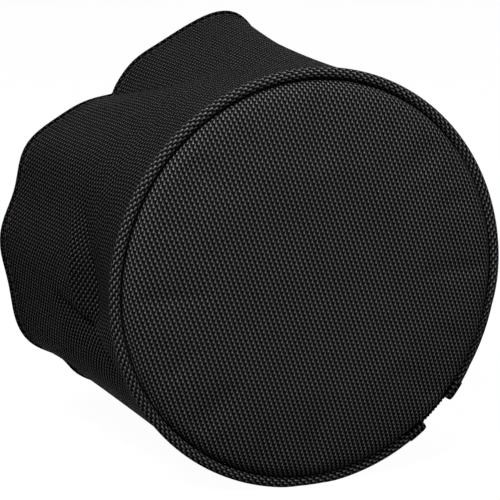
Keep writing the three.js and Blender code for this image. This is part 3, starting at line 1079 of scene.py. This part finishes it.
def strip_grid(arcs, lie, thickness, low, high):
    """A flat strip bent round the skirt, with rounded edges. Rows run along the strip."""
    middle = np.linspace(low + thickness / 2, high - thickness / 2, STRIP_COLUMNS)
    section = thick_line(np.stack([middle, 0 * middle], 1), thickness, round_steps=7)
    height = lie[:, None] + thickness / 2 + section[None, :, 1]
    angle = SLIT_ANGLE + degrees(arcs)
    return around(SKIRT_RADIUS + height, section[None, :, 0], angle[:, None])


strap_arcs = np.arange(STRAP_BASE_END, STRAP_TIP - 0.01, -STRAP_STEP)
strap_points = strip_grid(strap_arcs, strap_lie(strap_arcs), STRAP_THICKNESS, STRAP_LOW, STRAP_HIGH)
closing_webbing = lofted("closing_webbing", strap_points, cloth_along(strap_points)[:, :, ::-1],
                         strap_webbing)
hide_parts("strap_base", "strap_tab")
strap_middle = (STRAP_LOW + STRAP_HIGH) / 2
bend_from, bend_to = (around(SKIRT_RADIUS + BEND_HEIGHT, strap_middle, SLIT_ANGLE + degrees(arc)) * MM
                      for arc in BEND_ARCS)
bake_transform(closing_webbing)

# %% The backings of the hooks and the loops
PATCH_INSET = 2.0
PATCH_ROWS = 40
BACKING = 0.6
HOOK_ARCS = (-17.0, -29.5)
HOOK_LIE = 2.5
LOOP_ARCS = (-15.5, -30.5)


def backing(name, arcs, lie, inset, finish):
    places = np.linspace(arcs[0], arcs[1], PATCH_ROWS)
    lies = np.full(len(places), lie)
    grid = strip_grid(places, lies, BACKING, STRAP_LOW + inset, STRAP_HIGH - inset)
    return lofted(name, grid, cloth_along(grid)[:, :, ::-1], finish)


hook_backing = backing("hook_backing", HOOK_ARCS, HOOK_LIE, PATCH_INSET, hook_plastic)
loop_backing = backing("loop_backing", LOOP_ARCS, CLEARANCE, 0.0, loop_nap)
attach(hook_backing, "closure_tab")
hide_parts("hook_patch")
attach(loop_backing, "cap")
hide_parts("loop_patch")

# %% [markdown]
# ## Hooks and loops
#
# Both are tiny arcs of a monofilament, planted in rows. A hook stands on one foot and bends over,
# and a loop stands on both feet and is turned at random. Hundreds of them follow one rule, which is
# what Geometry Nodes are for: the tree plants a bent wire on each point, out from the cloth.

# %% A tree that plants bent wires
class Plan(Nodes):
    """The nodes of one Geometry Nodes tree, with its named inputs."""

    def __init__(self, name, inputs):
        super().__init__(bpy.data.node_groups.new(name, "GeometryNodeTree"))
        face = self.tree.interface
        face.new_socket("Geometry", in_out="INPUT", socket_type="NodeSocketGeometry")
        for label, kind, value in inputs:
            socket = face.new_socket(label, in_out="INPUT", socket_type="NodeSocket" + kind)
            socket.default_value = value
        face.new_socket("Material", in_out="INPUT", socket_type="NodeSocketMaterial")
        face.new_socket("Geometry", in_out="OUTPUT", socket_type="NodeSocketGeometry")
        self.given = self.node("NodeGroupInput", {}, {})

    def finish(self, geometry):
        """Realizes the instances and gives them the material."""
        solid = self.node("GeometryNodeRealizeInstances", {}, {0: geometry})
        round_solid = self.node("GeometryNodeSetShadeSmooth", {}, {0: solid})
        sockets = {"Geometry": round_solid, "Material": self.given.pick("Material")}
        painted = self.node("GeometryNodeSetMaterial", {}, sockets)
        self.node("NodeGroupOutput", {}, {0: painted})
        return self.tree

    def attribute(self, name):
        settings = {"data_type": "FLOAT_VECTOR"}
        return self.node("GeometryNodeInputNamedAttribute", settings, {"Name": name})


def grown(name, mesh, tree, material, **inputs):
    """Puts the mesh through a tree and keeps the result as a plain mesh."""
    piece = linked(name, mesh)
    modifier = piece.modifiers.new("Grow", "NODES")
    modifier.node_group = tree
    inputs["Material"] = material
    for item in tree.interface.items_tree:
        if item.in_out == "INPUT" and item.name in inputs:
            modifier[item.identifier] = inputs[item.name]
    evaluated = piece.evaluated_get(bpy.context.evaluated_depsgraph_get())
    result = bpy.data.meshes.new_from_object(evaluated)
    piece.modifiers.clear()
    piece.data = result
    result.name = name
    print(name, len(result.polygons), "faces")
    return piece


def wire_tree():
    plan = Plan("planted_wires", [("Radius", "Float", 0.0005), ("Thickness", "Float", 0.0001),
                                  ("Start", "Float", 0.0), ("Sweep", "Float", 3.0),
                                  ("Lift", "Float", 0.0), ("Turn", "Float", 0.0), ("Seed", "Int", 1)])
    given = plan.given
    arc = plan.node("GeometryNodeCurveArc", {}, {
        "Resolution": 8, "Radius": given.pick("Radius"), "Start Angle": given.pick("Start"),
        "Sweep Angle": given.pick("Sweep")})
    section = plan.node("GeometryNodeCurvePrimitiveCircle", {}, {
        "Resolution": 4, "Radius": given.pick("Thickness")})
    wire = plan.node("GeometryNodeCurveToMesh", {}, {
        "Curve": arc, "Profile Curve": section, "Fill Caps": True})
    lift = plan.node("ShaderNodeCombineXYZ", {}, {"Z": given.pick("Lift")})
    upright = plan.node("GeometryNodeTransform", {}, {
        "Geometry": wire, "Translation": lift, "Rotation": (math.pi / 2, 0, 0)})
    stands = plan.node("FunctionNodeAlignRotationToVector", {"axis": "Z"}, {
        "Vector": plan.attribute("outward")})
    points = plan.node("FunctionNodeAlignRotationToVector", {"axis": "X", "pivot_axis": "Z"}, {
        "Rotation": stands, "Vector": plan.attribute("lengthways")})
    chance = plan.node("FunctionNodeRandomValue", {"data_type": "FLOAT"}, {
        2: given.pick("Turn") * -1.0, 3: given.pick("Turn"), "Seed": given.pick("Seed")}, output=1)
    spin = plan.node("FunctionNodeAxisAngleToRotation", {}, {"Axis": (0, 0, 1), "Angle": chance})
    turned_round = plan.node("FunctionNodeRotateRotation", {"rotation_space": "LOCAL"}, {
        "Rotation": points, "Rotate By": spin})
    planted = plan.node("GeometryNodeInstanceOnPoints", {}, {
        "Points": given, "Instance": upright, "Rotation": turned_round})
    return plan.finish(planted)


planted_wires = wire_tree()
print(planted_wires.name, len(planted_wires.nodes), "nodes")

# %% Plant the hooks and the loops
ROW_MARGIN = 0.5
FIRST_MARGIN = 0.7
LAST_MARGIN = 0.6


def seeds(arcs, inset, pitch, height, outward):
    """Points in staggered rows on a patch, each with its directions, as a mesh of loose points."""
    places, outs, ways = [], [], []
    rows = np.arange(arcs[0] - ROW_MARGIN, arcs[1] + ROW_MARGIN, -pitch[0])
    for index, arc in enumerate(rows):
        low = STRAP_LOW + inset + FIRST_MARGIN + 0.5 * pitch[1] * (index % 2)
        for y in np.arange(low, STRAP_HIGH - inset - LAST_MARGIN, pitch[1]):
            angle = SLIT_ANGLE + degrees(arc)
            places.append(around(SKIRT_RADIUS + height, y, angle))
            outs.append(around(outward, 0, angle))
            ways.append(around(1, 0, angle - 90))
    mesh = mesh_from("seeds", places, [])
    for label, values in (("outward", outs), ("lengthways", ways)):
        attribute = mesh.attributes.new(label, "FLOAT_VECTOR", "POINT")
        attribute.data.foreach_set("vector", np.array(values, np.float32).ravel())
    return mesh


HOOK_RADIUS = 0.26
LOOP_RADIUS = 0.36
HOOK_PITCH = (1.2, 0.8)
LOOP_PITCH = (0.9, 0.9)
LOOP_INSET = 0.6
hook_start, loop_start = math.radians(-70), math.radians(-50)
hook_wires = grown("hook_wires", seeds(HOOK_ARCS, PATCH_INSET, HOOK_PITCH, HOOK_LIE, -1),
                   planted_wires, hook_plastic, Radius=HOOK_RADIUS * MM, Thickness=0.08 * MM,
                   Start=hook_start, Sweep=math.radians(230),
                   Lift=-HOOK_RADIUS * MM * math.sin(hook_start))
loop_wires = grown("loop_wires", seeds(LOOP_ARCS, LOOP_INSET, LOOP_PITCH, CLEARANCE + BACKING, 1),
                   planted_wires, loop_nap, Radius=LOOP_RADIUS * MM, Thickness=0.06 * MM,
                   Start=loop_start, Sweep=math.radians(280), Turn=math.pi,
                   Lift=-LOOP_RADIUS * MM * math.sin(loop_start))
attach(hook_wires, "closure_tab")
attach(loop_wires, "cap")

# %% [markdown]
# ## Stitching
#
# Hems, tape and strap are held by rows of lockstitch. Each row is a chain of edges, and a tree puts
# a small capsule at even steps along it, turned along the row. The hems, the tape, the loops and
# both ends of the strap each have their own piece of stitches, because each rides one body.

# %% A tree that sews along edges
THREAD = 0.45
HEM_STITCH = (3.4, 2.9)
BOX_STITCH = (2.6, 2.2)


def stitch_tree():
    plan = Plan("stitch_row", [("Step", "Float", 0.0034), ("Length", "Float", 0.003),
                               ("Thread", "Float", 0.0005)])
    given = plan.given
    row = plan.node("GeometryNodeMeshToCurve", {}, {0: given})
    spots = plan.node("GeometryNodeCurveToPoints", {"mode": "LENGTH"}, {
        "Curve": row, "Length": given.pick("Step")})
    size = plan.node("ShaderNodeCombineXYZ", {}, {
        "X": given.pick("Length"), "Y": given.pick("Thread"), "Z": given.pick("Thread")})
    bead = plan.node("GeometryNodeMeshUVSphere", {}, {"Segments": 8, "Rings": 6, "Radius": 0.5})
    stitch = plan.node("GeometryNodeTransform", {}, {"Geometry": bead, "Scale": size})
    turned_along = plan.node("FunctionNodeAlignRotationToVector", {"axis": "X"}, {
        "Vector": spots.pick("Tangent")})
    sewn = plan.node("GeometryNodeInstanceOnPoints", {}, {
        "Points": spots, "Instance": stitch, "Rotation": turned_along})
    return plan.finish(sewn)


stitch_row = stitch_tree()
print(stitch_row.name, len(stitch_row.nodes), "nodes")


def sewn(name, rows, body, stitch):
    """Rows of stitches as one piece. stitch holds the step from one to the next and their length."""
    step, length = stitch
    edges, first = [], 0
    for row in rows:
        edges += [(i, i + 1) for i in range(first, first + len(row) - 1)]
        first += len(row)
    mesh = mesh_from(name, np.concatenate(rows), [], edges)
    piece = grown(name, mesh, stitch_row, black_thread, Step=step * MM, Length=length * MM,
                  Thread=THREAD * MM)
    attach(piece, body)
    return piece


# %% Rows on hems, tape and strap
PROUD = 0.1
ROW_INSET = 1.5
ROW_STEP = 1.5
ROWS_END = SKIRT_DEPTH - 2
OUTER_ROW_FROM = 3.0
INNER_ROW_FROM = ROLL_FLARE + 6
TAPE_ROWS = (2.6, 5.7)
hem_angles = stations(HEM_COVER, ROW_STEP)
hem_top = HEM_STEP + PROUD
hem_under = -INNER_INSET - HEM_STEP - PROUD
mouth_row = SKIRT_DEPTH - MOUTH_HEM_WIDTH + ROW_INSET
hem_rows = [cloth_point(hem_angles, mouth_row, PROUD), cloth_point(hem_angles, mouth_row, hem_under)]
slit_row = SLIT_GAP / 2 + SLIT_HEM_WIDTH - ROW_INSET
for side in (1, -1):
    row_angle = SLIT_ANGLE + side * degrees(slit_row)
    outer_depths = np.arange(OUTER_ROW_FROM, ROWS_END, ROW_STEP)
    inner_depths = np.arange(INNER_ROW_FROM, ROWS_END, ROW_STEP)
    hem_rows.append(cloth_point(row_angle, outer_depths, hem_top))
    hem_rows.append(cloth_point(row_angle, inner_depths, hem_under))


def tape_row(y):
    lean = tape_lean(hem_angles, y)
    return around(TAPE_RADIUS - TAPE_THICKNESS / 2 - PROUD + lean, y, hem_angles)


def box_row(arcs, inset, top):
    """A stitched rectangle, as a row that closes. top gives how high the strip is over the cloth."""
    low, high = STRAP_LOW + inset, STRAP_HIGH - inset
    corners = [(arcs[0], low), (arcs[1], low), (arcs[1], high), (arcs[0], high), (arcs[0], low)]
    row = np.concatenate([np.linspace(a, b, 12)[:-1] for a, b in zip(corners, corners[1:])])
    radius = SKIRT_RADIUS + top(row[:, 0]) + PROUD
    return around(radius, row[:, 1], SLIT_ANGLE + degrees(row[:, 0]))


def strap_top(arc):
    return strap_lie(arc) + STRAP_THICKNESS


def loop_top(arc):
    return CLEARANCE + BACKING + 0 * arc


hem_stitches = sewn("hem_stitches", hem_rows, "cap", HEM_STITCH)
tape_stitches = sewn("tape_stitches", [tape_row(y) for y in TAPE_ROWS], "cap", HEM_STITCH)
base_box = box_row(arcs=(38, 21), inset=2.0, top=strap_top)
loop_box = box_row(arcs=(-16.2, -29.8), inset=0.8, top=loop_top)
tab_box = box_row(arcs=(-17.6, -29.0), inset=2.6, top=strap_top)
sewn("strap_stitches", [base_box], "cap", BOX_STITCH)
sewn("loop_stitches", [loop_box], "cap", BOX_STITCH)
sewn("tab_stitches", [tab_box], "closure_tab", BOX_STITCH)

# %% [markdown]
# ## What is cloth
#
# The skirt was a strip as long as the seam, and as wide as its depth, its turned edge and the seam
# allowance.

# %% [markdown]
# ## Floor, light and camera
#
# The cap is photographed on plain white. The floor looks white to the camera and to reflections,
# and still takes the cap's soft shadow. A strong soft lamp stands to the upper left, as the bright
# flank and the upper shoulder of the front show. A weaker one lights the top, and a wide weak one
# the front from the right. The world adds very little.

# %% The floor
FLOOR_GLOW = 0.975
FLOOR_SIZE = 20.0


def looks_at(recipe):
    """1 for the rays that show the background: the camera's, and those in gloss and glass."""
    path = recipe.node("ShaderNodeLightPath", {}, {}, output="Is Camera Ray")
    shown = recipe.math("MAXIMUM", path.pick("Is Glossy Ray"), path.pick("Is Transmission Ray"))
    return recipe.math("MAXIMUM", path, shown)


def floor_material():
    recipe = Recipe("white_floor")
    seen = looks_at(recipe)
    plain = recipe.node("ShaderNodeBsdfDiffuse", {}, {"Color": grey(0.05, 1.0)})
    glow = recipe.node("ShaderNodeEmission", {}, {"Color": grey(1.0, 1.0), "Strength": FLOOR_GLOW})
    both = recipe.node("ShaderNodeAddShader", {}, {0: plain, 1: glow})
    return recipe.finish(recipe.node("ShaderNodeMixShader", {}, {0: seen, 1: plain, 2: both}))


floor_mesh = bpy.data.meshes.new("floor")
floor_level = cad_low.z
half = FLOOR_SIZE / 2
floor_corners = [(-half, -half), (half, -half), (half, half), (-half, half)]
floor_mesh.from_pydata([(x, y, floor_level) for x, y in floor_corners], [], [(0, 1, 2, 3)])
floor = new_object("floor", floor_mesh, floor_material())
print("floor at", round(1000 * floor_level, 1), "mm,", FLOOR_SIZE, "m across")

# %% The world and the lamps
FILL_LEVEL = 0.012
world = bpy.data.worlds.new("plain_white")
world.use_nodes = True
bpy.context.scene.world = world
sky = Nodes(world.node_tree)
sky.tree.nodes.clear()
level = looks_at(sky) * (1 - FILL_LEVEL) + FILL_LEVEL
sky_light = sky.node("ShaderNodeBackground", {}, {"Color": grey(1.0, 1.0), "Strength": level})
sky.node("ShaderNodeOutputWorld", {}, {"Surface": sky_light})


def soft_lamp(name, place, size, power):
    """A square lamp that is aimed at the cap's origin."""
    light = bpy.data.lights.new(name, "AREA")
    light.shape = "RECTANGLE"
    light.size = light.size_y = size
    light.energy = power
    lamp = linked(name, light)
    lamp.location = place
    lamp.rotation_euler = lamp.location.to_track_quat("Z", "Y").to_euler()


soft_lamp("key", place=(-0.79, -0.71, 1.06), size=0.35, power=22.0)
soft_lamp("top", place=(0.23, -0.4, 1.43), size=0.35, power=8.0)
soft_lamp("fill", place=(0.34, -1.25, 0.75), size=1.0, power=5.0)
print(len(bpy.data.lights), "lamps, world at", FILL_LEVEL)

# %% The camera
AZIMUTH = math.radians(-23.954)
ELEVATION = math.radians(12.661)
DISTANCE = 900.0
AIM_RIGHT, AIM_UP = -21.859, 10.989
LENS = 178.46
backward = Vector((math.sin(AZIMUTH) * math.cos(ELEVATION), -math.cos(AZIMUTH) * math.cos(ELEVATION),
                   math.sin(ELEVATION)))
rightward = Vector((math.cos(AZIMUTH), math.sin(AZIMUTH), 0))
upward = backward.cross(rightward)
place = Vector((0, ROLL_PLANE, 0)) + AIM_RIGHT * rightward + AIM_UP * upward + DISTANCE * backward
camera_data = bpy.data.cameras.new("camera")
camera_data.lens = LENS
camera_data.sensor_width = 36.0
camera_data.clip_end = 50.0
camera = linked("camera", camera_data)
camera.location = place * MM
camera.rotation_euler = backward.to_track_quat("Z", "Y").to_euler()
bpy.context.scene.camera = camera
bpy.context.scene.view_settings.view_transform = "Standard"
print("camera at", [round(1000 * spot) for spot in camera.location], "mm, lens", LENS, "mm")
